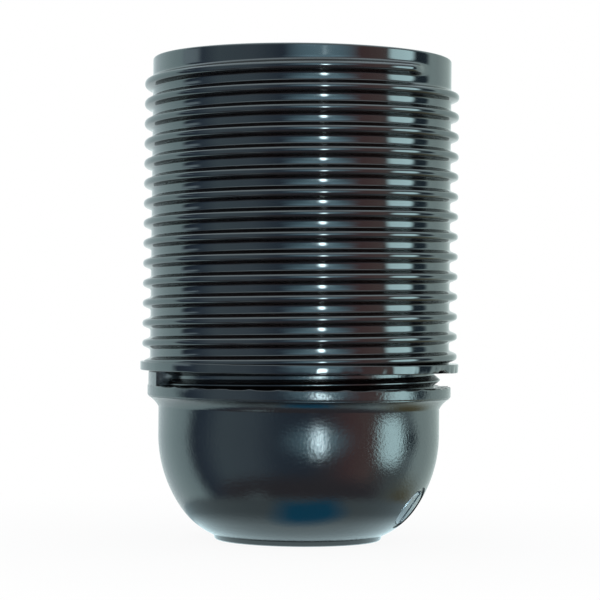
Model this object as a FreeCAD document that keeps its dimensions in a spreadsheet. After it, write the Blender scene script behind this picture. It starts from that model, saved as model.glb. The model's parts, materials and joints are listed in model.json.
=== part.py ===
"""Lamp holder with a threaded barrel: a moulded dome and sleeve round a steatite contact insert.

Millimetres. The origin is the centre of the dome's flat boss, +Z runs to the lamp's mouth, and -Y is
the front, with the locking screw low on the right shoulder.
"""
import FreeCAD, Part
import math
import os

import Sketcher
from FreeCAD import Vector

SIZES = {
    # dome: a bowl that stands on a flat boss, with a rim and a threaded neck above it
    "boss_radius": 10.4,
    "boss_height": 0.5,
    "boss_flare": 0.2,
    "dome_radius": 17.65,
    "shoulder_height": 13.2,
    "shoulder_radius": 16.2,
    "shoulder_angle": 34.7,
    "cove_height": 16.5,
    "rim_low": 17.9,
    "rim_top": 19.2,
    "rim_radius": 19.05,
    "rim_rounding": 0.2,
    "lug_radius": 18.95,
    "lug_top": 21.0,
    "lug_half_angle": 22.0,
    "neck_radius": 16.95,
    "neck_top": 25.5,
    "dome_bore_radius": 14.6,
    "dome_bore_low": 10.0,
    "dome_floor": 3.2,
    "floor_radius": 8.5,
    "pillar_radius": 8.3,
    "pillar_top": 14.5,
    "guide_radius": 5.2,
    "keyway_low": 15.5,
    # thread that holds the sleeve on the neck
    "neck_pitch": 1.75,
    "neck_ridge_height": 0.75,
    "neck_ridge_width": 1.35,
    "neck_crest_width": 0.1,
    "neck_thread_low": 18.45,
    "neck_thread_rise": 6.25,
    "neck_root_clearance": 0.1,
    "neck_flank_clearance": 0.15,
    # entry bush, M10 x 1
    "bush_radius": 6.5,
    "bush_low": 0.3,
    "bush_top": 6.8,
    "bush_bore_radius": 4.6,
    "bush_chamfer": 0.4,
    # locking screw, M5, slanted through the dome's shoulder
    "lock_azimuth": 70.0,
    "lock_slope": 35.0,
    "lock_mouth_radius": 14.9,
    "lock_mouth_height": 4.2,
    "lock_screw_radius": 2.5,
    "lock_screw_length": 10.0,
    "lock_screw_recess": 0.6,
    "lock_clearance": 0.05,
    "lock_relief_radius": 2.75,
    "lock_relief_depth": 0.5,
    "lock_tip_radius": 1.5,
    "lock_tip_length": 0.8,
    "lock_slot_width": 0.9,
    "lock_slot_depth": 1.1,
    "lock_boss_radius": 4.3,
    "lock_boss_wall": 2.2,
    "lock_boss_depth": 11.1,
    # steatite contact block
    "block_radius": 14.2,
    "block_low": 16.0,
    "flange_radius": 16.7,
    "flange_thickness": 2.0,
    "key_width": 2.6,
    "key_radius": 15.4,
    "key_clearance": 0.2,
    "bay_inner": 3.4,
    "bay_outer": 12.8,
    "bay_width": 7.2,
    "bay_depth": 5.0,
    # contacts, rivets and terminals
    "foot_depth": 0.6,
    "strip_width": 5.0,
    "strip_thickness": 0.5,
    "strip_clearance": 0.15,
    "tongue_foot_end": 9.0,
    "tongue_foot_bend": 3.6,
    "tongue_crown_height": 31.5,
    "tongue_crown_half": 1.4,
    "tongue_tip": 3.2,
    "tongue_drop": 1.8,
    "side_foot_end": 3.6,
    "side_blade_place": 12.7,
    "side_blade_height": 33.0,
    "side_tip_height": 35.0,
    "side_tip_lean": 0.7,
    "rivet_place": 5.6,
    "rivet_radius": 1.2,
    "rivet_head_radius": 1.55,
    "rivet_head_thickness": 0.6,
    "terminal_inner": 3.8,
    "terminal_outer": 12.2,
    "terminal_width": 6.4,
    "terminal_thickness": 1.0,
    "terminal_screw_place": 9.8,
    "terminal_screw_radius": 1.45,
    "terminal_screw_top": 23.0,
    "terminal_head_radius": 2.6,
    "terminal_head_low": 16.6,
    "terminal_head_thickness": 1.7,
    "terminal_slot_width": 0.7,
    "terminal_slot_depth": 0.8,
    "thread_clearance": 0.05,
    "clamp_side": 4.6,
    "clamp_thickness": 0.8,
    # threaded sleeve
    "sleeve_low": 21.1,
    "sleeve_top": 60.2,
    "ring_radius": 20.0,
    "ring_top": 22.2,
    "barrel_radius": 18.78,
    "barrel_pitch": 2.5,
    "barrel_ridge_height": 1.0,
    "barrel_ridge_width": 1.5,
    "barrel_crest_width": 0.45,
    "barrel_thread_low": 21.9,
    "barrel_thread_margin": 2.3,
    "collar_rounding": 0.25,
    "sleeve_bore_radius": 17.05,
    "web_depth": 4.2,
    "mouth_radius": 14.0,
    "mouth_depth": 3.0,
    "tube_outer_radius": 15.0,
    "tube_bore_radius": 13.4,
    "tube_step": 34.6,
    # lamp thread, E27
    "lamp_minor_radius": 12.25,
    "lamp_thread_depth": 1.1,
    "lamp_pitch": 3.629,
    "lamp_groove_width": 2.9,
    "lamp_root_width": 1.0,
    "lamp_thread_low": 37.2,
    "lamp_thread_margin": 1.226,
}

THREAD_OVERLAP = 0.08  # how far a ridge or a cutter reaches past the wall that it stands on
CUTTER_REACH = 2.0  # how far a slanted cutter starts outside the dome

doc = FreeCAD.newDocument("lamp_holder")
sheet = doc.addObject("Spreadsheet::Sheet", "dims")
for row, (alias, size) in enumerate(SIZES.items(), start=1):
    sheet.set(f"A{row}", alias)
    sheet.set(f"B{row}", str(size))
    sheet.setAlias(f"B{row}", alias)
doc.recompute()


def value(expression):
    """The number that an expression of the sheet's sizes gives."""
    return float(sheet.evalExpression(expression))


def new_body(name):
    """A body whose label names its node."""
    body = doc.addObject("PartDesign::Body", name)
    body.Label = name
    return body


def new_sketch(body, name, role="XZ_Plane", offset=None):
    """A sketch on one of the body's own origin planes, moved by an expression if one is given."""
    sketch = body.newObject("Sketcher::SketchObject", name)
    plane = [feature for feature in body.Origin.OriginFeatures if feature.Role == role][0]
    sketch.AttachmentSupport = [(plane, "")]
    sketch.MapMode = "FlatFace"
    if offset is not None:
        sketch.setExpression("AttachmentOffset", offset)
    doc.recompute()
    return sketch


def lifted(height):
    """The offset expression of a sketch at a height above the XY plane."""
    return f"create(<<placement>>; create(<<vector>>; 0; 0; {height}); create(<<rotation>>; 0; 0; 0))"


def lock_frame(depth):
    """The placement expression on the locking screw's axis, a depth inside the dome's surface."""
    reach = f"(dims.lock_mouth_radius - ({depth}) * cos(dims.lock_slope))"
    place = (
        f"create(<<vector>>; {reach} * sin(dims.lock_azimuth); -{reach} * cos(dims.lock_azimuth); "
        f"dims.lock_mouth_height + ({depth}) * sin(dims.lock_slope))"
    )
    turn = "create(<<rotation>>; dims.lock_azimuth - 90; 90 + dims.lock_slope; 0)"
    return f"create(<<placement>>; {place}; {turn})"


def point_on(sketch, edge, place):
    """Which end of a sketch edge, 1 or 2, lies at a place."""
    first = (sketch.getPoint(edge, 1) - place).Length
    second = (sketch.getPoint(edge, 2) - place).Length
    return 1 if first < second else 2


def arc_middle(start, end, radius, side):
    """The middle of an arc that bulges to the given side, 1 for left of its chord and -1 for right."""
    chord = end - start
    half = chord.Length / 2
    rise = radius - math.sqrt(max(radius**2 - half**2, 0))
    normal = Vector(-chord.y, chord.x, 0).normalize()
    return (start + end) * 0.5 + normal * (side * rise)


def outline(sketch, corners):
    """Draw a closed outline, each corner bound to the sheet.

    A corner is (across, along). The edge that leaves it is straight, or an arc where the corner also
    holds a radius and the side that it bulges to. An arc with no radius of its own is tangent to the
    arc after it.
    """
    places = [Vector(value(corner[0]), value(corner[1]), 0) for corner in corners]
    count = len(corners)
    ends = []
    for index, corner in enumerate(corners):
        start = places[index]
        end = places[(index + 1) % count]
        if len(corner) == 2:
            edge = sketch.addGeometry(Part.LineSegment(start, end))
        else:
            guess = value(corner[2]) if corner[2] else 1.6 * (end - start).Length
            middle = arc_middle(start, end, guess, corner[3])
            edge = sketch.addGeometry(Part.Arc(start, middle, end))
        ends.append((edge, point_on(sketch, edge, start), point_on(sketch, edge, end)))
    for index, corner in enumerate(corners):
        edge, first, _ = ends[index]
        before, _, last = ends[index - 1]
        smooth = len(corners[index - 1]) == 4 and corners[index - 1][2] is None
        meeting = "Tangent" if smooth else "Coincident"
        sketch.addConstraint(Sketcher.Constraint(meeting, before, last, edge, first))
        bind(sketch, Sketcher.Constraint("DistanceX", edge, first, places[index].x), corner[0])
        bind(sketch, Sketcher.Constraint("DistanceY", edge, first, places[index].y), corner[1])
        if len(corner) == 4 and corner[2] is not None:
            bind(sketch, Sketcher.Constraint("Radius", edge, value(corner[2])), corner[2])
    return sketch


def bind(sketch, constraint, expression):
    """Add a constraint and tie its value to an expression."""
    index = sketch.addConstraint(constraint)
    sketch.setExpression(f"Constraints[{index}]", expression)


def circle(sketch, radius, across="0", along="0"):
    """Draw a circle bound to the sheet."""
    centre = Vector(value(across), value(along), 0)
    edge = sketch.addGeometry(Part.Circle(centre, Vector(0, 0, 1), value(radius)))
    bind(sketch, Sketcher.Constraint("Radius", edge, value(radius)), radius)
    bind(sketch, Sketcher.Constraint("DistanceX", edge, 3, centre.x), across)
    bind(sketch, Sketcher.Constraint("DistanceY", edge, 3, centre.y), along)
    return sketch


def rectangle(sketch, left, right, low, high):
    """Draw a rectangle bound to the sheet."""
    return outline(sketch, [(left, low), (right, low), (right, high), (left, high)])


def strip(sketch, route, thickness):
    """Draw the section of a bent strip: its back follows the route and its face lies to the left."""
    places = [Vector(value(x), value(z), 0) for x, z in route]
    normals = []
    for start, end in zip(places, places[1:]):
        along = (end - start).normalize()
        normals.append(Vector(-along.y, along.x, 0))
    gauge = value(thickness)
    faces = [places[0] + normals[0] * gauge]
    for place, before, after in zip(places[1:], normals, normals[1:]):
        faces.append(place + (before + after) * (gauge / (1 + before.dot(after))))
    faces.append(places[-1] + normals[-1] * gauge)
    backs = [sketch.addGeometry(Part.LineSegment(a, b)) for a, b in zip(places, places[1:])]
    fronts = [sketch.addGeometry(Part.LineSegment(a, b)) for a, b in zip(faces, faces[1:])]
    root = sketch.addGeometry(Part.LineSegment(places[0], faces[0]))
    tip = sketch.addGeometry(Part.LineSegment(places[-1], faces[-1]))
    for edges in (backs, fronts):
        for before, after in zip(edges, edges[1:]):
            sketch.addConstraint(Sketcher.Constraint("Coincident", before, 2, after, 1))
        sketch.addConstraint(Sketcher.Constraint("Coincident", root, 1 + edges.index(edges[0]), edges[0], 1)
                             if edges is backs else Sketcher.Constraint("Coincident", root, 2, edges[0], 1))
        sketch.addConstraint(Sketcher.Constraint("Coincident", tip, 1 if edges is backs else 2, edges[-1], 2))
    for back, front in zip(backs, fronts):
        sketch.addConstraint(Sketcher.Constraint("Parallel", back, front))
        bind(sketch, Sketcher.Constraint("Distance", front, 1, back, gauge), thickness)
    sketch.addConstraint(Sketcher.Constraint("Perpendicular", root, backs[0]))
    sketch.addConstraint(Sketcher.Constraint("Perpendicular", tip, backs[-1]))
    for edge, (x, z) in zip(backs, route):
        bind(sketch, Sketcher.Constraint("DistanceX", edge, 1, value(x)), x)
        bind(sketch, Sketcher.Constraint("DistanceY", edge, 1, value(z)), z)
    bind(sketch, Sketcher.Constraint("DistanceX", backs[-1], 2, value(route[-1][0])), route[-1][0])
    bind(sketch, Sketcher.Constraint("DistanceY", backs[-1], 2, value(route[-1][1])), route[-1][1])
    return sketch


def volume(body):
    """The body's volume once it is up to date."""
    doc.recompute()
    return body.Shape.Volume if not body.Shape.isNull() else 0.0


def grown(body, feature):
    """Stop unless the feature added material."""
    before = feature.BaseFeature.Shape.Volume if feature.BaseFeature else 0.0
    if volume(body) <= before:
        raise RuntimeError(f"{feature.Name} added nothing to {body.Label}")
    return feature


def cut(body, feature):
    """Stop unless the feature removed material."""
    if volume(body) >= feature.BaseFeature.Shape.Volume:
        raise RuntimeError(f"{feature.Name} cut nothing from {body.Label}")
    return feature


def revolve(body, sketch):
    """Turn a section once round the body's axis."""
    turned = body.newObject("PartDesign::Revolution", f"{sketch.Name}_turned")
    turned.Profile = sketch
    turned.ReferenceAxis = (sketch, ["V_Axis"])
    turned.Angle = 360
    return grown(body, turned)


def pad(body, sketch, length, both_ways=False):
    """Raise a sketch along its normal, or half each way."""
    raised = body.newObject("PartDesign::Pad", f"{sketch.Name}_pad")
    raised.Profile = sketch
    raised.Midplane = both_ways
    raised.setExpression("Length", length)
    return grown(body, raised)


def pocket(body, sketch, depth, upwards=False):
    """Cut a sketch into the body, against its normal or along it."""
    sunk = body.newObject("PartDesign::Pocket", f"{sketch.Name}_pocket")
    sunk.Profile = sketch
    sunk.Reversed = upwards
    sunk.setExpression("Length", depth)
    return cut(body, sunk)


def helix(body, sketch, kind, pitch, rise):
    """Sweep a section along a right-hand helix round the body's axis, adding or cutting it."""
    swept = body.newObject(f"PartDesign::{kind}Helix", f"{sketch.Name}_swept")
    swept.Profile = sketch
    swept.ReferenceAxis = (sketch, ["V_Axis"])
    swept.Mode = 0
    swept.setExpression("Pitch", pitch)
    swept.setExpression("Height", rise)
    return grown(body, swept) if kind == "Additive" else cut(body, swept)


def round_rings(body, rings, radius):
    """Round the circular edges that lie at the given radii and heights."""
    base = body.Tip
    names = []
    for number, edge in enumerate(base.Shape.Edges, start=1):
        if not isinstance(edge.Curve, Part.Circle):
            continue
        for ring_radius, ring_height in rings:
            same_size = abs(edge.Curve.Radius - value(ring_radius)) < 1e-6
            if same_size and abs(edge.Curve.Center.z - value(ring_height)) < 1e-6:
                names.append(f"Edge{number}")
    rounded = body.newObject("PartDesign::Fillet", f"{body.Name}_rounded")
    rounded.Base = (base, names)
    rounded.setExpression("Radius", radius)
    return cut(body, rounded)


def make_dome():
    """The moulded dome: boss, bowl, rim, neck, pillar for the bush and the locking screw's boss."""
    body = new_body("dome")
    join_across = "dims.dome_radius - dims.shoulder_radius * (1 - cos(dims.shoulder_angle))"
    join_along = "dims.shoulder_height - dims.shoulder_radius * sin(dims.shoulder_angle)"
    section = outline(new_sketch(body, "dome_section"), [
        ("dims.guide_radius", "0"),
        ("dims.boss_radius", "0"),
        ("dims.boss_radius + dims.boss_flare", "dims.boss_height", None, -1),
        (join_across, join_along, "dims.shoulder_radius", -1),
        ("dims.dome_radius", "dims.shoulder_height"),
        ("dims.dome_radius", "dims.cove_height"),
        ("dims.rim_radius", "dims.rim_low"),
        ("dims.rim_radius", "dims.rim_top"),
        ("dims.neck_radius", "dims.rim_top"),
        ("dims.neck_radius", "dims.neck_top"),
        ("dims.dome_bore_radius", "dims.neck_top"),
        ("dims.dome_bore_radius", "dims.dome_bore_low", "dims.floor_radius", 1),
        ("dims.pillar_radius", "dims.dome_floor"),
        ("dims.pillar_radius", "dims.pillar_top"),
        ("dims.guide_radius", "dims.pillar_top"),
    ])
    revolve(body, section)
    round_rings(body, [("dims.rim_radius", "dims.rim_low"), ("dims.rim_radius", "dims.rim_top")],
                "dims.rim_rounding")
    add_stop_lug(body)
    cut_dome_openings(body)
    ridge = neck_ridge(body, "neck_ridge", "dims.neck_thread_low", "0", "0")
    helix(body, ridge, "Additive", "dims.neck_pitch", "dims.neck_thread_rise")
    return body


def add_stop_lug(body):
    """Add the lug on the rim's left that the sleeve's foot comes down on."""
    across, along = "cos(dims.lug_half_angle)", "sin(dims.lug_half_angle)"
    root = f"(dims.neck_radius - {THREAD_OVERLAP})"
    start = "(dims.rim_top - 2 * dims.rim_rounding)"
    lug = outline(new_sketch(body, "stop_lug", "XY_Plane", lifted(start)), [
        (f"-dims.lug_radius * {across}", f"dims.lug_radius * {along}", "dims.lug_radius", -1),
        (f"-dims.lug_radius * {across}", f"-dims.lug_radius * {along}"),
        (f"-{root} * {across}", f"-{root} * {along}", root, 1),
        (f"-{root} * {across}", f"{root} * {along}"),
    ])
    pad(body, lug, f"dims.lug_top - {start}")


def cut_dome_openings(body):
    """Add the locking screw's boss, then cut its hole, the bush seat and the keyways."""
    boss = circle(new_sketch(body, "lock_boss", "XY_Plane", lock_frame("dims.lock_boss_depth")),
                  "dims.lock_boss_radius")
    pad(body, boss, "dims.lock_boss_depth - dims.lock_boss_wall")
    seat = circle(new_sketch(body, "bush_seat", "XY_Plane"), "dims.bush_radius")
    pocket(body, seat, "dims.bush_top", upwards=True)
    guide = circle(new_sketch(body, "cord_guide", "XY_Plane"), "dims.guide_radius")
    pocket(body, guide, "dims.pillar_top + dims.lock_boss_radius", upwards=True)
    outside = f"-{CUTTER_REACH}"
    hole = circle(new_sketch(body, "lock_hole", "XY_Plane", lock_frame(outside)),
                  "dims.lock_screw_radius + dims.lock_clearance")
    inward = "(dims.lock_mouth_radius - dims.pillar_radius / 2) / cos(dims.lock_slope)"
    pocket(body, hole, f"{CUTTER_REACH} + {inward}")
    relief = circle(new_sketch(body, "lock_relief", "XY_Plane", lock_frame(outside)),
                    "dims.lock_relief_radius")
    pocket(body, relief, f"{CUTTER_REACH} + dims.lock_relief_depth")
    keyway = rectangle(new_sketch(body, "keyway", "XY_Plane", lifted("dims.neck_top")),
                       "-(dims.key_width / 2 + dims.key_clearance)",
                       "dims.key_width / 2 + dims.key_clearance",
                       "-(dims.key_radius + dims.key_clearance)",
                       "dims.key_radius + dims.key_clearance")
    pocket(body, keyway, "dims.neck_top - dims.keyway_low")


def neck_ridge(body, name, low, root_gap, flank_gap):
    """The section of the neck's thread ridge, widened by the gaps where it cuts the sleeve."""
    foot = f"(dims.neck_radius + {root_gap} - {THREAD_OVERLAP})"
    crest = f"(dims.neck_radius + dims.neck_ridge_height + {root_gap})"
    lean = "(dims.neck_ridge_width - dims.neck_crest_width) / 2 / dims.neck_ridge_height"
    wide = f"(dims.neck_ridge_width / 2 + {flank_gap} + ({THREAD_OVERLAP} - {root_gap}) * {lean})"
    thin = f"(dims.neck_crest_width / 2 + {flank_gap} / 2)"
    return outline(new_sketch(body, name), [
        (foot, f"{low} - {wide}"),
        (crest, f"{low} - {thin}"),
        (crest, f"{low} + {thin}"),
        (foot, f"{low} + {wide}"),
    ])


def make_entry_bush():
    """The steel bush moulded into the dome, which takes the M10 x 1 entry tube."""
    body = new_body("entry_bush")
    section = outline(new_sketch(body, "bush_section"), [
        ("dims.bush_bore_radius + dims.bush_chamfer", "dims.bush_low"),
        ("dims.bush_radius", "dims.bush_low"),
        ("dims.bush_radius", "dims.bush_top"),
        ("dims.bush_bore_radius", "dims.bush_top"),
        ("dims.bush_bore_radius", "dims.bush_low + dims.bush_chamfer"),
    ])
    revolve(body, section)
    return body


def make_locking_screw():
    """The slotted screw that clamps the entry tube, built along its own axis and set on the slant."""
    body = new_body("locking_screw")
    outer = "-dims.lock_screw_recess"
    inner = "-(dims.lock_screw_recess + dims.lock_screw_length)"
    section = outline(new_sketch(body, "lock_section"), [
        ("0", outer),
        ("0", inner),
        ("dims.lock_tip_radius", inner),
        ("dims.lock_screw_radius", f"{inner} + dims.lock_tip_length"),
        ("dims.lock_screw_radius", f"{outer} - dims.lock_slot_width / 4"),
        ("dims.lock_screw_radius - dims.lock_slot_width / 4", outer),
    ])
    revolve(body, section)
    slot = rectangle(new_sketch(body, "lock_slot", "XY_Plane"), "-dims.lock_screw_radius",
                     "dims.lock_screw_radius", "-dims.lock_slot_width / 2", "dims.lock_slot_width / 2")
    pocket(body, slot, "dims.lock_screw_recess + dims.lock_slot_depth")
    body.setExpression("Placement", lock_frame("0"))
    return body


def make_contact_block():
    """The steatite block that carries the contacts, keyed in the neck under a flange."""
    body = new_body("contact_block")
    core = circle(new_sketch(body, "core", "XY_Plane", lifted("dims.block_low")), "dims.block_radius")
    pad(body, core, "dims.neck_top - dims.block_low")
    key = rectangle(new_sketch(body, "keys", "XY_Plane", lifted("dims.block_low")),
                    "-dims.key_width / 2", "dims.key_width / 2", "-dims.key_radius", "dims.key_radius")
    pad(body, key, "dims.neck_top - dims.block_low")
    flange = circle(new_sketch(body, "flange", "XY_Plane", lifted("dims.neck_top")), "dims.flange_radius")
    pad(body, flange, "dims.flange_thickness")
    half_bay = "dims.bay_width / 2"
    half_foot = "(dims.strip_width / 2 + dims.strip_clearance)"
    flange_top = lifted("dims.neck_top + dims.flange_thickness")
    centre_foot = rectangle(new_sketch(body, "centre_foot_seat", "XY_Plane", flange_top),
                            "-(dims.tongue_foot_end + dims.strip_clearance)",
                            "-(dims.tongue_foot_bend - 2 * dims.strip_clearance)",
                            f"-{half_foot}", half_foot)
    pocket(body, centre_foot, "dims.foot_depth")
    side_foot = rectangle(new_sketch(body, "side_foot_seat", "XY_Plane", flange_top),
                          "dims.side_foot_end - dims.strip_clearance",
                          "dims.side_blade_place + dims.strip_clearance", f"-{half_foot}", half_foot)
    pocket(body, side_foot, "dims.foot_depth")
    for side, name in ((-1, "centre"), (1, "side")):
        inner, outer = sorted((f"{side} * dims.bay_inner", f"{side} * dims.bay_outer"), key=value)
        bay = rectangle(new_sketch(body, f"{name}_bay", "XY_Plane", lifted("dims.block_low")),
                        inner, outer, f"-{half_bay}", half_bay)
        pocket(body, bay, "dims.bay_depth", upwards=True)
        rivet = circle(new_sketch(body, f"{name}_rivet_hole", "XY_Plane", lifted("dims.block_low")),
                       "dims.rivet_radius + dims.thread_clearance", f"{side} * dims.rivet_place")
        pocket(body, rivet, "dims.neck_top + dims.flange_thickness - dims.block_low", upwards=True)
        relief = circle(new_sketch(body, f"{name}_screw_relief", "XY_Plane", lifted("dims.block_low")),
                        "dims.terminal_screw_radius + 3 * dims.thread_clearance",
                        f"{side} * dims.terminal_screw_place")
        pocket(body, relief, "dims.terminal_screw_top + 0.5 - dims.block_low", upwards=True)
    return body


FOOT_HEIGHT = "(dims.neck_top + dims.flange_thickness - dims.foot_depth)"


def make_centre_contact():
    """The sprung tongue that touches the tip of the lamp cap."""
    body = new_body("centre_contact")
    crown = "dims.tongue_crown_height - dims.strip_thickness"
    section = strip(new_sketch(body, "tongue"), [
        ("-dims.tongue_foot_end", FOOT_HEIGHT),
        ("-dims.tongue_foot_bend", FOOT_HEIGHT),
        ("-dims.tongue_crown_half", crown),
        ("dims.tongue_crown_half", crown),
        ("dims.tongue_tip", f"{crown} - dims.tongue_drop"),
    ], "dims.strip_thickness")
    pad(body, section, "dims.strip_width", both_ways=True)
    cut_rivet_hole(body, -1)
    return body


def make_side_contact():
    """The upright blade that touches the lamp's screw shell."""
    body = new_body("side_contact")
    section = strip(new_sketch(body, "blade"), [
        ("dims.side_foot_end", FOOT_HEIGHT),
        ("dims.side_blade_place", FOOT_HEIGHT),
        ("dims.side_blade_place", "dims.side_blade_height"),
        ("dims.side_blade_place - dims.side_tip_lean", "dims.side_tip_height"),
    ], "dims.strip_thickness")
    pad(body, section, "dims.strip_width", both_ways=True)
    cut_rivet_hole(body, 1)
    return body


def cut_rivet_hole(body, side):
    """Cut the rivet's hole through a contact's foot."""
    hole = circle(new_sketch(body, f"{body.Name}_rivet_hole", "XY_Plane", lifted(FOOT_HEIGHT)),
                  "dims.rivet_radius + dims.thread_clearance", f"{side} * dims.rivet_place")
    pocket(body, hole, "dims.strip_thickness", upwards=True)


def make_rivet(name, side):
    """The rivet that holds a contact's foot and its terminal plate to the block."""
    body = new_body(name)
    tail = "dims.block_low + dims.bay_depth - dims.terminal_thickness"
    head = f"{FOOT_HEIGHT} + dims.strip_thickness"
    section = outline(new_sketch(body, f"{name}_section"), [
        ("0", f"{tail} - dims.rivet_head_thickness"),
        ("dims.rivet_head_radius", f"{tail} - dims.rivet_head_thickness"),
        ("dims.rivet_head_radius", tail),
        ("dims.rivet_radius", tail),
        ("dims.rivet_radius", head),
        ("dims.rivet_head_radius", head),
        ("dims.rivet_radius", f"{head} + dims.rivet_head_thickness"),
        ("0", f"{head} + dims.rivet_head_thickness"),
    ])
    revolve(body, section)
    body.setExpression("Placement.Base.x", f"{side} * dims.rivet_place")
    return body


def make_terminal(name, side):
    """The terminal plate at the top of its bay, with the rivet's hole and the screw's."""
    body = new_body(name)
    inner, outer = sorted((f"{side} * dims.terminal_inner", f"{side} * dims.terminal_outer"), key=value)
    low = lifted("dims.block_low + dims.bay_depth - dims.terminal_thickness")
    plate = rectangle(new_sketch(body, f"{name}_plate", "XY_Plane", low), inner, outer,
                      "-dims.terminal_width / 2", "dims.terminal_width / 2")
    pad(body, plate, "dims.terminal_thickness")
    rivet = circle(new_sketch(body, f"{name}_rivet_hole", "XY_Plane", low),
                   "dims.rivet_radius + dims.thread_clearance", f"{side} * dims.rivet_place")
    pocket(body, rivet, "dims.terminal_thickness", upwards=True)
    screw = circle(new_sketch(body, f"{name}_screw_hole", "XY_Plane", low),
                   "dims.terminal_screw_radius + dims.thread_clearance",
                   f"{side} * dims.terminal_screw_place")
    pocket(body, screw, "dims.terminal_thickness", upwards=True)
    return body


def make_terminal_screw(name, side):
    """A slotted M3 terminal screw, head down, built on its own axis."""
    body = new_body(name)
    seat = "dims.terminal_head_low + dims.terminal_head_thickness"
    section = outline(new_sketch(body, f"{name}_section"), [
        ("0", "dims.terminal_head_low"),
        ("dims.terminal_head_radius", "dims.terminal_head_low"),
        ("dims.terminal_head_radius", seat),
        ("dims.terminal_screw_radius", seat),
        ("dims.terminal_screw_radius", "dims.terminal_screw_top"),
        ("0", "dims.terminal_screw_top"),
    ])
    revolve(body, section)
    slot = rectangle(new_sketch(body, f"{name}_slot", "XY_Plane", lifted("dims.terminal_head_low")),
                     "-dims.terminal_head_radius", "dims.terminal_head_radius",
                     "-dims.terminal_slot_width / 2", "dims.terminal_slot_width / 2")
    pocket(body, slot, "dims.terminal_slot_depth", upwards=True)
    body.setExpression("Placement.Base.x", f"{side} * dims.terminal_screw_place")
    return body


def make_clamp(name, side):
    """The square washer that a terminal screw presses on the wire."""
    body = new_body(name)
    low = lifted("dims.terminal_head_low + dims.terminal_head_thickness")
    plate = rectangle(new_sketch(body, f"{name}_plate", "XY_Plane", low), "-dims.clamp_side / 2",
                      "dims.clamp_side / 2", "-dims.clamp_side / 2", "dims.clamp_side / 2")
    pad(body, plate, "dims.clamp_thickness")
    hole = circle(new_sketch(body, f"{name}_hole", "XY_Plane", low),
                  "dims.terminal_screw_radius + dims.thread_clearance")
    pocket(body, hole, "dims.clamp_thickness", upwards=True)
    body.setExpression("Placement.Base.x", f"{side} * dims.terminal_screw_place")
    return body


def make_threaded_sleeve():
    """The moulded sleeve: barrel with its thread outside and the lamp's thread in an inner tube."""
    body = new_body("threaded_sleeve")
    lamp_step = "(dims.tube_bore_radius - dims.lamp_minor_radius)"
    mouth_low = "dims.sleeve_top - dims.mouth_depth"
    section = outline(new_sketch(body, "sleeve_section"), [
        ("dims.sleeve_bore_radius", "dims.sleeve_low"),
        ("dims.ring_radius", "dims.sleeve_low"),
        ("dims.ring_radius", "dims.ring_top"),
        ("dims.barrel_radius", "dims.ring_top"),
        ("dims.barrel_radius", "dims.sleeve_top"),
        ("dims.mouth_radius", "dims.sleeve_top"),
        ("dims.mouth_radius", mouth_low),
        ("dims.lamp_minor_radius", f"{mouth_low} - (dims.mouth_radius - dims.lamp_minor_radius) / 2"),
        ("dims.lamp_minor_radius", f"dims.tube_step + {lamp_step}"),
        ("dims.tube_bore_radius", "dims.tube_step"),
        ("dims.tube_bore_radius", "dims.neck_top + dims.flange_thickness"),
        ("dims.tube_outer_radius", "dims.neck_top + dims.flange_thickness"),
        ("dims.tube_outer_radius", "dims.sleeve_top - dims.web_depth"),
        ("dims.sleeve_bore_radius", "dims.sleeve_top - dims.web_depth"),
    ])
    revolve(body, section)
    round_rings(body, [("dims.barrel_radius", "dims.sleeve_top"), ("dims.mouth_radius", "dims.sleeve_top"),
                       ("dims.ring_radius", "dims.sleeve_low"), ("dims.ring_radius", "dims.ring_top")],
                "dims.collar_rounding")
    cut_neck_groove(body)
    cut_lamp_thread(body)
    add_barrel_thread(body)
    return body


def cut_neck_groove(body):
    """Cut the female thread that runs on the neck, one turn longer at each end than the ridge."""
    groove = neck_ridge(body, "neck_groove", "dims.neck_thread_low + dims.neck_pitch",
                        "dims.neck_root_clearance", "dims.neck_flank_clearance")
    helix(body, groove, "Subtractive", "dims.neck_pitch", "dims.neck_thread_rise")


def cut_lamp_thread(body):
    """Cut the E27 thread up the inner tube, running out into the mouth."""
    root = "(dims.lamp_minor_radius + dims.lamp_thread_depth)"
    foot = f"(dims.lamp_minor_radius - {THREAD_OVERLAP})"
    groove = outline(new_sketch(body, "lamp_groove"), [
        (foot, "dims.lamp_thread_low - dims.lamp_groove_width / 2"),
        (root, "dims.lamp_thread_low - dims.lamp_root_width / 2"),
        (root, "dims.lamp_thread_low + dims.lamp_root_width / 2"),
        (foot, "dims.lamp_thread_low + dims.lamp_groove_width / 2"),
    ])
    helix(body, groove, "Subtractive", "dims.lamp_pitch",
          "dims.sleeve_top - dims.lamp_thread_margin - dims.lamp_thread_low")


def add_barrel_thread(body):
    """Wind the barrel's ridge, from the ring at the left to the collar at the right front."""
    foot = f"-(dims.barrel_radius - {THREAD_OVERLAP})"
    crest = "-(dims.barrel_radius + dims.barrel_ridge_height)"
    ridge = outline(new_sketch(body, "barrel_ridge"), [
        (foot, "dims.barrel_thread_low + dims.barrel_ridge_width / 2"),
        (crest, "dims.barrel_thread_low + dims.barrel_crest_width / 2"),
        (crest, "dims.barrel_thread_low - dims.barrel_crest_width / 2"),
        (foot, "dims.barrel_thread_low - dims.barrel_ridge_width / 2"),
    ])
    helix(body, ridge, "Additive", "dims.barrel_pitch",
          "dims.sleeve_top - dims.barrel_thread_margin - dims.barrel_thread_low")


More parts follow.
